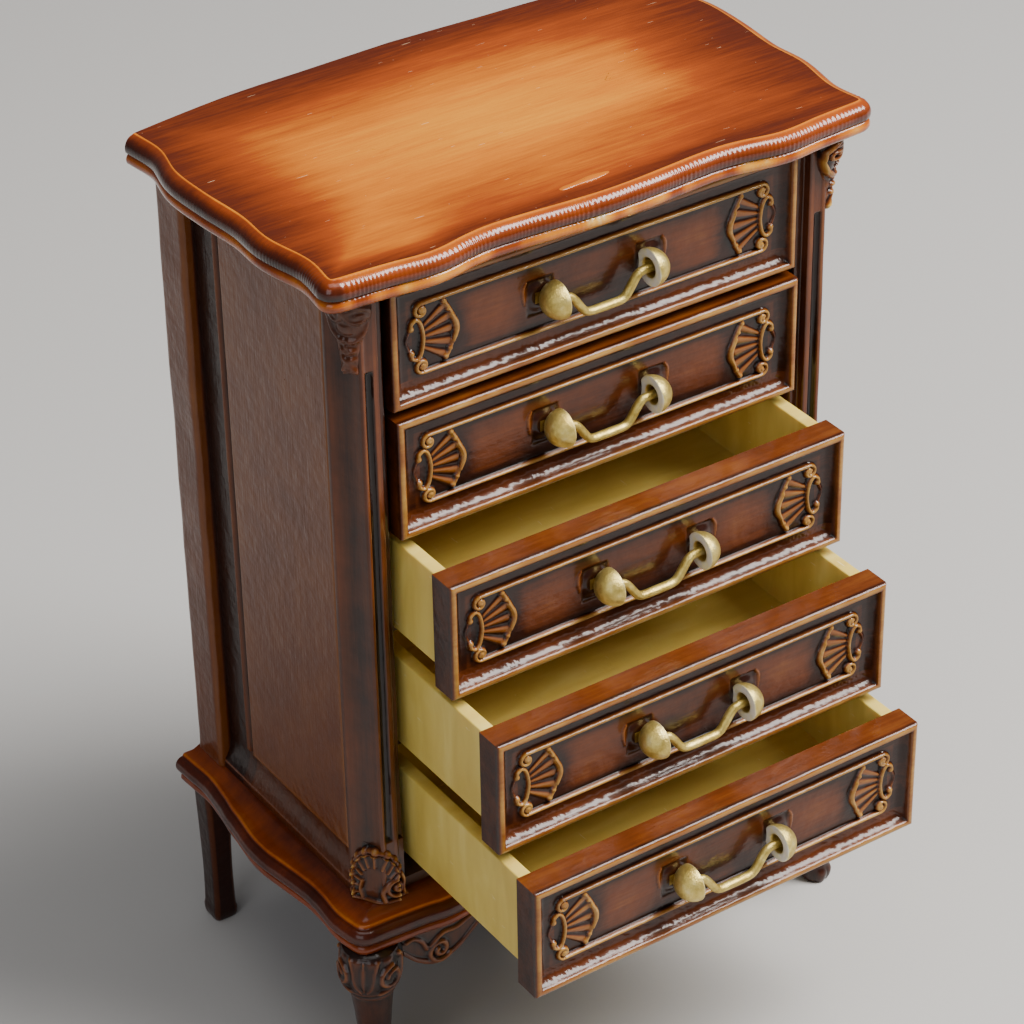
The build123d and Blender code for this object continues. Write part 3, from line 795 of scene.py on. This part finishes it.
def side_panel(side):
    y = marks((-13.5, -11.9, 0.09), (-11.9, 6.0, 0.9), (6.0, 9.2, 0.09), (9.2, 11.4, 0.4), (11.4, 12.1, 0.1))
    z = marks((CASE_BOTTOM, 28.8, 0.12), (28.8, 93.0, 1.2), (93.0, CASE_TOP, 0.15))
    gy, gz = grid(y, z)

    def raised(low_y, high_y, rise):
        t = np.clip(np.minimum.reduce([gy - low_y, high_y - gy, gz - 27.8, 94.3 - gz]) / 0.4, 0, 1)
        return rise * np.sqrt(1 - (1 - t) ** 2)

    out = np.maximum(raised(-12.9, 6.6, 0.6), raised(7.25, 8.05, 0.5))
    out -= 0.25 * smooth_step(8.2, 8.6, gy) * smooth_step(11.9, 11.4, gy)
    cove = np.clip((27.3 - gz) / 3.2, 0, 1)
    out = np.maximum(out, 1.0 * cove ** 2.2)
    out = np.where(gz < 24.1, np.maximum(out, 1.0), out)
    out += 0.02 * wobble(gy, gz, seed=31 + side, scale=0.16)
    # Painted highlight on raised edges and painted shade in the hollows, in the groove towards the rear
    # stile, beside the post and in the cove at the foot; a pale line runs along the step.
    tone = 0.44 + 0.7 * standing_out(out, 4)
    tone -= 0.32 * smooth_step(7.95, 8.5, gy) + 0.14 * smooth_step(6.5, 6.8, gy) * smooth_step(8.5, 7.9, gy)
    tone -= 0.10 * smooth_step(-12.7, -13.3, gy)
    tone = np.where((gz > 24.0) & (gz < 24.25), 0.55, tone)
    tone = np.where(gz < 27.2, tone * 0.75, tone)
    verts, faces, tones = slab(y, z, 0.6 - out, np.clip(tone, 0.02, 0.9), 2.6, (0.2, 0.2))
    verts = np.column_stack([side * (28.8 - verts[:, 1]), verts[:, 0], verts[:, 2]])
    case_piece(handed("side_panel", side), "_board", (verts, faces, tones), 50, side_brown)


def rounded_section(x0, x1, y0, y1, radius=0.55, step=0.25):
    """A rectangle with rounded corners."""
    corners = [(x1 - radius, y1 - radius, 0), (x0 + radius, y1 - radius, 90),
               (x0 + radius, y0 + radius, 180), (x1 - radius, y0 + radius, 270)]
    points = []
    for cx, cy, turn in corners:
        points += arc((cx, cy), (radius, radius), turn, turn + 90, 7)
    points.append(points[0])
    return even(np.array(points), step)[:-1]


def stile(side):
    x, y = rounded_section(26.2, 29.7, 12.1, CASE_BACK).T
    outer = x > 28.5
    edge = np.minimum(np.abs(y - 12.3), np.abs(y - 16.9))
    tone = np.where(outer, 0.40 + 0.10 * np.exp(-(edge / 0.4) ** 2), 0.2)
    rings = []
    heights = marks((CASE_BOTTOM, CASE_TOP, 0.8))
    for z in heights:
        hand = 0.07 * wobble(np.full(len(x), z), y, seed=41 + side, scale=0.22)
        rings.append(level_ring((x + hand * outer) * side, y, z))
    shape = loft(rings, [tone] * len(heights))
    case_piece(handed("rear_stile", side), "_bar", shape, 50, side_brown)


def back_panel():
    x = marks((-26.2, -22.6, 0.16), (-22.6, 22.6, 0.7), (22.6, 26.2, 0.16))
    z = marks((CASE_BOTTOM, 27.2, 0.16), (27.2, 90.7, 0.7), (90.7, CASE_TOP, 0.16))
    gx, gz = grid(x, z)
    inset = np.minimum.reduce([23.6 - np.abs(gx), gz - 26.2, 91.7 - gz])
    depth = 0.28 * smooth_step(0, 0.5, inset)
    for cx in (-14, 0, 14):
        for cz in (36, 59, 82):
            ring = np.abs(np.hypot(gx - cx, gz - cz) - 2.2)
            depth += 0.06 * np.exp(-(ring / 0.5) ** 2)
    depth += 0.015 * wobble(gx, gz, seed=55, scale=0.2)
    # Painted shade in the sunk field and its rings, strongest at their edges, with a paler line just outside
    # them.
    tone = np.clip(0.36 - 1.4 * standing_out(depth, 3) - 0.05 * smooth_step(0, 0.5, inset), 0.05, 0.9)
    verts, faces, tones = slab(x, z, depth, tone, 1.2, (0.2, 0.2))
    verts = np.column_stack([-verts[:, 0], CASE_BACK - verts[:, 1], verts[:, 2]])
    me = mesh_of("back_board", verts, faces, tones, 50)
    place("back_board", me, brown_upright, "cabinet", ["back_panel"])


# ---------------- legs and apron

def front_leg(side):
    # (height, push out towards the corner, radius)
    sections = ((0.0, 0.4, 1.5), (0.5, 0.4, 1.72), (1.3, 0.4, 1.8), (2.2, 0.2, 1.75), (4.0, 0.0, 1.7),
                (8.5, 0.0, 2.0), (12.5, 0.2, 2.4), (14.2, 0.35, 2.8), (16.0, 0.5, 3.1), (LEG_TOP, 0.1, 3.05))
    line = curve(sections, 0.14)
    phi = around(112)
    from_corner = (phi + math.pi / 4 + math.pi) % (2 * math.pi) - math.pi
    gz = np.repeat(line[:, :1], len(phi), axis=1)
    gs = np.repeat(from_corner[None, :] * 3.0, len(line), axis=0)
    knee = smooth_step(13.9, 14.6, gz) * smooth_step(LEG_TOP, 18.2, gz)
    flutes = 0.22 * np.abs(np.sin(gs * 1.75)) ** 0.7 * knee * (np.abs(gs) < 3.6)
    detail, carve, _ = carving(gs, gz)
    for sign in (-1, 1):
        carve(spiral((sign * 3.1, 16.2), 1.45, 0.62, 0.25, sign * 1.2), 0.32, 0.50)
        for points, width, rise in (
                (((1.5, 18.4), (1.15, 17.2), (0.9, 15.6), (0.35, 14.5)), 0.26, 0.36),
                (((4.3, 18.3), (5.1, 17.3), (4.8, 15.7), (3.4, 14.6), (1.6, 14.2)), 0.34, 0.48)):
            carve(curve([(sign * u, w) for u, w in points]), width, rise)
    carve(curve([(0, 18.4), (0, 16.5), (0, 14.6)]), 0.30, 0.36, ends=0.3)
    ring = 0.26 * np.exp(-((gz - 14.0) / 0.28) ** 2) + 0.14 * np.exp(-((gz - 13.1) / 0.22) ** 2)
    toe = 0.20 * np.abs(np.cos(gs * 1.1)) * smooth_step(2.2, 1.2, gz) * (np.abs(gs) < 4.3)
    relief = np.maximum(flutes, detail) + ring * (detail < 0.1) + toe
    # Painted highlight on the raised carving and painted shade in its hollows.
    tone = np.clip(0.22 + 1.6 * standing_out(relief, 3), 0.03, 1.0)
    rings = []
    for (z, push, radius), lift in zip(line, relief):
        r = radius - 0.12 + lift
        out = push * 0.7071
        rings.append(level_ring(side * (FRONT_LEG_AT[0] + out + r * np.cos(phi)),
                                FRONT_LEG_AT[1] - out + r * np.sin(phi), z))
    case_piece(handed("front_leg", side), "_carving", loft(rings, tone), 80, carved)


def rear_leg(side):
    # (height, width, depth)
    sizes = ((0.0, 2.5, 2.7), (0.4, 2.8, 3.05), (1.2, 2.9, 3.2), (2.2, 2.7, 3.0), (7.0, 2.6, 2.9),
             (13.0, 2.8, 3.1), (LEG_TOP, 3.2, 3.1))
    rings = []
    tones = []
    for z, width, depth in curve(sizes, 0.3):
        section = rounded_section(-width / 2, width / 2, -depth / 2, depth / 2, step=0.2)
        pick = np.linspace(0, len(section), 60, endpoint=False)
        closed = np.vstack([section, section[:1]])
        p = np.stack([np.interp(pick, np.arange(len(closed)), closed[:, k]) for k in (0, 1)], 1)
        rings.append(level_ring(side * (REAR_LEG_AT[0] + p[:, 0]), REAR_LEG_AT[1] + p[:, 1], z))
        corner = (np.abs(p[:, 0]) > width / 2 - 0.5) & (np.abs(p[:, 1]) > depth / 2 - 0.5)
        tones.append(np.where(corner, 0.32, 0.20))
    case_piece(handed("rear_leg", side), "_bar", loft(rings, tones), 60, side_brown)


def apron():
    half = 25.9
    edge = curve([(0.0, 4.9), (4.0, 3.6), (9.0, 2.2), (15.0, 2.4), (19.0, 5.2), (21.5, 6.1), (24.0, 5.0),
                  (half, 3.1)], 0.2)
    x = np.linspace(-half, half, 420)
    low = np.interp(np.abs(x), edge[:, 0], edge[:, 1])[:, None]
    t = np.linspace(0, 1, 56)
    gx = np.repeat(x[:, None], len(t), 1)
    gz = LEG_TOP - (low - 0.02) * (1 - t[None, :])
    to_edge = gz - (LEG_TOP - low)
    bead = 0.35 * np.clip(1 - ((to_edge - 0.45) / 0.42) ** 2, 0, 1) ** 0.6
    detail, carve, dot = carving(np.abs(gx), gz)
    carve(spiral((21.4, 14.6), 1.55, 0.3, 0.6, 1.5), 0.34, 0.5)
    carve(curve([(15.2, 17.4), (17.4, 17.3), (19.3, 16.6), (21.0, 16.6), (22.6, 15.6)]), 0.32, 0.42)
    carve(curve([(25.5, 17.3), (24.6, 17.4), (23.6, 16.6), (23.0, 15.4)]), 0.30, 0.40)
    for turn in range(50, 131, 20):
        a = math.radians(turn)
        carve([(0.5 * math.cos(a), 15.0 + 0.4 * math.sin(a)), (2.6 * math.cos(a), 15.0 + 2.6 * math.sin(a))],
              0.28, 0.34, ends=0.5)
    carve(curve([(2.2, 15.4), (4.6, 16.2), (7.5, 17.2), (10.5, 17.5), (12.6, 17.0)]), 0.26, 0.36)
    dot((12.7, 17.0), 0.45, 0.42)
    relief = np.maximum(bead, detail)
    relief = relief * smooth_step(0.0, 0.12, to_edge) - 0.16 * (1 - smooth_step(0, 0.2, to_edge))
    # Painted highlight on the raised carving and painted shade in its hollows.
    tone = np.clip(0.27 + 1.5 * standing_out(relief, 2.5), 0.03, 1.0)
    front = np.dstack([gx, -17.85 - relief * 0.75, gz])
    back = np.dstack([gx, np.full_like(gx, -16.4), gz])
    me = mesh_of("apron_carving", *plate(front, back, tone, 0.15), 70)
    place("apron_carving", me, carved, "cabinet", ["front_apron"])


# ---------------- drawers

def front_relief(gx, gz):
    """How far each point of a drawer front lies behind its rim, and how dark or worn it is: painted shade and
    highlight as well as wear.
    """
    ax = np.abs(gx)
    cz = gz - FRONT_HEIGHT / 2
    inset = np.minimum(FRONT_HALF - ax, FRONT_HEIGHT / 2 - np.abs(cz))
    depth = 0.32 - np.sqrt(np.clip(0.32 ** 2 - (0.32 - np.clip(inset, 0, 0.32)) ** 2, 0, 1))
    t = np.clip((inset - 0.72) / 1.15, 0, 1)
    depth = depth + 1.1 * (1 - (1 - t) ** 2.2) ** 0.62
    depth -= 0.05 * np.exp(-((inset - 0.45) / 0.22) ** 2)
    # Beaded frame, end scrolls and the bars beside the shells.
    lines, carve, dot = carving(ax, cz)
    for sign in (-1, 1):
        carve([(0, sign * 3.73), (19.9, sign * 3.73)], 0.27, 0.5)
        carve(spiral((20.05, sign * 2.98), 0.76, 0.22, sign * 0.25, -sign * 1.15), 0.24, 0.5)
        dot((20.0, sign * 2.95), 0.42, 0.55)
    carve(curve([(21.25, 1.35), (21.15, 1.85), (20.6, 2.15), (20.1, 1.5), (19.85, 0.0), (20.1, -1.5),
                 (20.6, -2.15), (21.15, -1.9), (21.25, -1.45)]), 0.25, 0.5)
    dot((21.2, 1.30), 0.40, 0.5)
    dot((21.2, -1.40), 0.40, 0.5)
    carve(curve([(21.35, 1.1), (21.75, 0.0), (21.35, -1.2)]), 0.17, 0.25)
    carve(curve([(17.5, 3.3), (17.0, 2.4), (16.45, 1.3), (16.15, 0.3), (16.2, -0.5), (16.65, -1.6),
                 (17.0, -2.4), (17.4, -3.0)]), 0.28, 0.40)
    for bead in ((17.45, 3.15), (17.0, 2.25), (16.9, -2.1), (17.35, -2.9)):
        dot(bead, 0.36, 0.48)
    carve(curve([(16.7, 1.6), (16.2, 0.5), (16.14, -0.4), (16.55, -1.4)]), 0.40, 0.54, ends=0.6)
    # Shells with fanned ribs.
    fan = np.hypot(ax - 21.6, cz)
    angle = np.abs(np.degrees(np.arctan2(cz, 21.6 - ax)))
    inside = (fan < 5.3) & (angle < 38) & (ax < 19.8)
    ribs = 0.15 * np.abs(np.cos(np.radians(angle) * 11.0)) ** 1.3 * smooth_step(1.4, 2.4, fan)
    ribs *= smooth_step(5.3, 4.9, fan) * smooth_step(40, 34, angle) * smooth_step(19.9, 19.6, ax)
    depth = depth - np.maximum(lines, np.where(inside, 0.02 + ribs, 0))
    # Sunk pockets round the knobs, each with a raised fence.
    rise = gz - KNOB_RISE
    pocket = smooth_step(4.7, 5.1, ax) * smooth_step(8.1, 7.7, ax) * smooth_step(2.1, 1.7, np.abs(rise))
    seat = smooth_step(1.9, 0.9, np.hypot(ax - KNOB_X, rise))
    depth = blend(depth + 0.15 * pocket, 0.9, seat)
    fence, carve, _ = carving(ax, rise)
    carve(curve([(8.0, 1.9), (8.32, 1.3), (8.34, 0.3), (8.2, -0.5)]), 0.2, 0.16, ends=0.5)
    depth = depth - fence
    # Tones: painted shade in the hollows, a darker sweep under the handle, a paler panel, worn ridges and a
    # worn rim.
    tone = 0.31 - 1.0 * standing_out(depth, 4.0)
    sweep = np.exp(-((ax - 3.5) / 5.0) ** 2 - ((cz + 1.6) / 1.9) ** 2)
    panel = (inset > 2.9) & (lines < 0.05)
    light = np.exp(-((ax - 11.5) / 4.2) ** 2 - (cz / 2.2) ** 2)
    tone = tone + panel * (0.12 * light - 0.10 * sweep)
    # Painted shade beside the beads and towards the shells.
    near_bead = smooth_step(2.5, 3.3, np.abs(cz)) * (np.abs(cz) < 3.7) + smooth_step(14.0, 15.8, ax)
    tone = tone - 0.13 * np.clip(near_bead, 0, 1) * panel
    # Painted shade between the ribs of the shells.
    tone = np.where(inside, 0.14 + 0.48 * smooth_step(0.05, 0.13, ribs), tone)
    raised = smooth_step(0.16, 0.42, lines)
    # Worn beads; painted shade in the pockets round the knobs.
    tone = blend(blend(tone, 0.76, raised), 0.18, pocket)
    tone = np.where(fence > 0.05, 0.52, tone)
    # Painted shade in the cove, with a painted highlight where its lower bevel faces up.
    cove = smooth_step(0.8, 1.0, inset) * smooth_step(2.5, 2.2, inset) * (1 - raised)
    tone = blend(tone, 0.20 + 0.12 * (cz < -4.3), cove)
    rim = smooth_step(0.08, 0.2, inset) * smooth_step(0.75, 0.5, inset)
    rim *= 0.85 + 0.25 * wobble(gx, gz, seed=73, scale=0.5)
    tone = blend(tone, 0.74, rim)
    scuffed = smooth_step(-4.2, -4.6, cz) * smooth_step(0.6, 0.9, inset)
    depth = depth + 0.035 * scuffed * wobble(gx, gz, seed=74, scale=3.2)
    return depth, np.clip(tone, 0.02, 1.0)


def drawer_front_mesh():
    right = ((4.0, 8.8, 0.1), (8.8, 15.4, 0.2), (15.4, FRONT_HALF, 0.085))
    left = [(-stop, -start, step) for start, stop, step in right[::-1]]
    x = marks(*left, (-4.0, 4.0, 0.25), *right)
    z = marks((0.0, FRONT_HEIGHT, 0.085))
    gx, gz = grid(x, z)
    depth, tone = front_relief(gx, gz)
    depth += 0.012 * wobble(gx, gz, seed=71, scale=0.5)
    return mesh_of("drawer_front", *slab(x, z, depth, tone, 3.2, (0.26, 0.42)), 72)


def drawer_box_mesh():
    """An open box whose front is closed by the drawer front."""
    bm = bmesh.new()
    outer, inside = 23.4, 21.9
    front, back_inside, back = 3.22, 30.5, 32.0
    bottom, floor, rim = 2.1, 3.3, 12.8

    def corners(x, back_y, z):
        return {(sign, end): bm.verts.new((sign * x * MM, y * MM, z * MM))
                for sign in (-1, 1) for end, y in (("f", front), ("b", back_y))}

    low = corners(outer, back, bottom)
    high = corners(outer, back, rim)
    well = corners(inside, back_inside, floor)
    brim = corners(inside, back_inside, rim)
    new = bm.faces.new
    new([low[-1, "f"], low[-1, "b"], low[1, "b"], low[1, "f"]])
    new([well[-1, "f"], well[1, "f"], well[1, "b"], well[-1, "b"]])
    new([low[-1, "b"], high[-1, "b"], high[1, "b"], low[1, "b"]])
    new([well[-1, "b"], well[1, "b"], brim[1, "b"], brim[-1, "b"]])
    new([high[-1, "f"], brim[-1, "f"], brim[-1, "b"], brim[1, "b"],
         brim[1, "f"], high[1, "f"], high[1, "b"], high[-1, "b"]])
    new([low[-1, "f"], low[1, "f"], high[1, "f"], brim[1, "f"],
         well[1, "f"], well[-1, "f"], brim[-1, "f"], high[-1, "f"]])
    for sign in (-1, 1):
        new([low[sign, "f"], high[sign, "f"], high[sign, "b"], low[sign, "b"]])
        new([well[sign, "f"], well[sign, "b"], brim[sign, "b"], brim[sign, "f"]])
    bmesh.ops.recalc_face_normals(bm, faces=bm.faces)
    bmesh.ops.bevel(bm, geom=list(bm.edges), offset=0.16 * MM, segments=3, profile=0.5, affect="EDGES")
    me = bpy.data.meshes.new("drawer_box")
    return finish_mesh(bm, me, 35)


def knob_mesh(side):
    # (distance out from the knob's inner face, radius, tone)
    rounded = 0.55
    profile = [(2.1 * math.cos(a), 2.0 * math.sin(a), rounded) for a in np.radians(np.linspace(1, 86, 30))]
    # Past the face the bore darkens with depth: painted shade.
    profile += [(0.05, 1.985, 0.8), (0.0, 1.93, 0.95), (-0.01, 1.75, 1.0), (-0.01, 1.40, 1.0),
                (0.0, 1.15, 0.95), (0.06, 1.02, 0.6), (0.3, 0.95, 0.3), (0.6, 0.85, 0.15), (0.9, 0.7, 0.08),
                (0.9, 0.56, 0.06), (1.2, 0.53, 0.05)]
    phi = around(64)
    rings = []
    for x, radius, tone in profile:
        lump = wobble(np.cos(phi) * 3 + x, np.sin(phi) * 3, seed=81, scale=1.2)
        r = radius * (1 + 0.008 * lump * (tone == rounded))
        rings.append(np.column_stack([side * np.full(len(phi), 5.2 + x), BAIL_Y + r * np.cos(phi),
                                      KNOB_RISE + r * np.sin(phi)]))
    verts, faces, tones = loft(rings, [tone for _, _, tone in profile])
    # A square block which joins the knob to the drawer front.
    half = 0.6
    first = len(verts)
    block = [(side * KNOB_X + a * half, y, KNOB_RISE + b * half) for y in (0.9, 2.6)
             for a, b in ((-1, -1), (1, -1), (1, 1), (-1, 1))]
    quads = ((0, 1, 2, 3), (7, 6, 5, 4), (0, 4, 5, 1), (1, 5, 6, 2), (2, 6, 7, 3), (3, 7, 4, 0))
    faces += [[first + k for k in quad] for quad in quads]
    return mesh_of("knob", np.vstack([verts, block]), faces, np.append(tones, np.full(len(block), 0.2)), 70)


def bail_mesh():
    """A flattened wire handle, hanging down."""
    bends = [(-6.9, 0.0), (-3.95, 0.0), (-2.3, -2.5), (2.3, -2.5), (3.95, 0.0), (6.9, 0.0)]
    step = 0.06
    line = soften(even(np.array(bends), step), 9)
    across = -outward(line)
    phi = around(28)
    rings = []
    for k in range(0, len(line), 2):
        flat = 1 - 0.07 * np.cos(2 * phi) * (abs(line[k, 1]) > 0.2)
        r = 0.468 * flat * (1 + 0.02 * math.sin(k * step * 1.7))
        rings.append(np.column_stack([line[k, 0] + across[k, 0] * r * np.cos(phi), BAIL_Y + r * np.sin(phi),
                                      KNOB_RISE + line[k, 1] + across[k, 1] * r * np.cos(phi)]))
    return mesh_of("bail", *loft(rings, [0.5] * len(rings)), 70)


top_moulding()
top_face()
lacquer_run()
plinth()
back_panel()
apron()
for side in (-1, 1):
    post(side)
    bracket(side)
    palmette(side)
    side_panel(side)
    stile(side)
    front_leg(side)
    rear_leg(side)

front_mesh = drawer_front_mesh()
box_mesh = drawer_box_mesh()
knobs = {"left": knob_mesh(-1), "right": knob_mesh(1)}
bail = bail_mesh()
for index, opening in enumerate(OPENINGS):
    name = "drawer_" + str(index + 1)
    at = (0, CASE_FRONT - opening, LOWEST_FRONT_Z + (len(OPENINGS) - 1 - index) * PITCH)
    place(name + "_relief", front_mesh, brown, name, [name + "_front"], at)
    place(name + "_tray", box_mesh, ivory, name, [name + "_box"], at)
    for hand, me in knobs.items():
        place(name + "_cup_" + hand, me, gold, name, [name + "_knob_" + hand], at)
    place(name + "_handle", bail, gold, "bail_" + str(index + 1), [name + "_bail"], at)

for kept in ("case_floor", "runner_rack_left", "runner_rack_right"):
    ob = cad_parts[kept]
    ob.data.materials.clear()
    ob.data.materials.append(inner)


# ---------------- stage

def add_camera():
    """The camera of the photo, rolled slightly about the way it looks."""
    camera = bpy.data.cameras.new("camera")
    ob = add_object("camera", camera)
    bpy.context.scene.camera = ob
    azimuth, elevation, roll = (math.radians(a) for a in (-33.613, 33.454, -1.05))
    look = Vector((-math.sin(azimuth) * math.cos(elevation), math.cos(azimuth) * math.cos(elevation),
                   -math.sin(elevation)))
    level = look.cross(Vector((0, 0, 1))).normalized()
    upright = level.cross(look)
    right = math.cos(roll) * level + math.sin(roll) * upright
    up = -math.sin(roll) * level + math.cos(roll) * upright
    pose = Matrix((right, up, -look)).transposed().to_4x4()
    pose.translation = Vector((-0.16975, -0.25622, 0.25453))
    ob.matrix_world = pose
    camera.sensor_width = 36
    camera.lens = 123.17
    camera.clip_start = 0.01
    camera.clip_end = 20


def add_area(name, direction, distance, size, power, colour):
    """A rectangular light in a direction from the middle of the chest."""
    light = bpy.data.lights.new(name, "AREA")
    light.shape = "RECTANGLE"
    light.size, light.size_y = size
    light.energy = power
    light.color = colour
    ob = add_object(name, light)
    d = Vector(direction).normalized()
    ob.location = Vector((0, 0, 0.055)) + d * distance
    ob.rotation_euler = (-d).to_track_quat("-Z", "Y").to_euler()


def add_floor():
    bpy.ops.mesh.primitive_plane_add(size=6)
    floor = bpy.context.object
    floor.name = "floor"
    m, nt, shader = start_material("floor_paper", Roughness=0.85)
    shader.inputs["Base Color"].default_value = (0.46, 0.45, 0.44, 1)
    grain = noise(nt, millimetres(nt), 0.6, 4.0)
    bump = node(nt, "ShaderNodeBump", {"Height": grain, "Distance": 0.02 * MM})
    nt.links.new(bump.outputs[0], shader.inputs["Normal"])
    floor.data.materials.append(m)


add_camera()
add_area("softbox", (0.47, -0.38, 0.77), 0.6, (0.26, 0.44), 9.0, (1.0, 0.97, 0.93))
add_area("ceiling", (-0.05, -0.10, 1.0), 0.6, (0.5, 0.4), 1.4, (1.0, 0.98, 0.95))
add_area("window", (-0.80, -0.50, 0.40), 0.8, (0.5, 0.5), 1.6, (0.95, 0.97, 1.0))
add_floor()
world = bpy.data.worlds.new("studio")
bpy.context.scene.world = world
world.use_nodes = True
background = world.node_tree.nodes["Background"]
background.inputs["Color"].default_value = (0.74, 0.76, 0.80, 1)
background.inputs["Strength"].default_value = 0.16
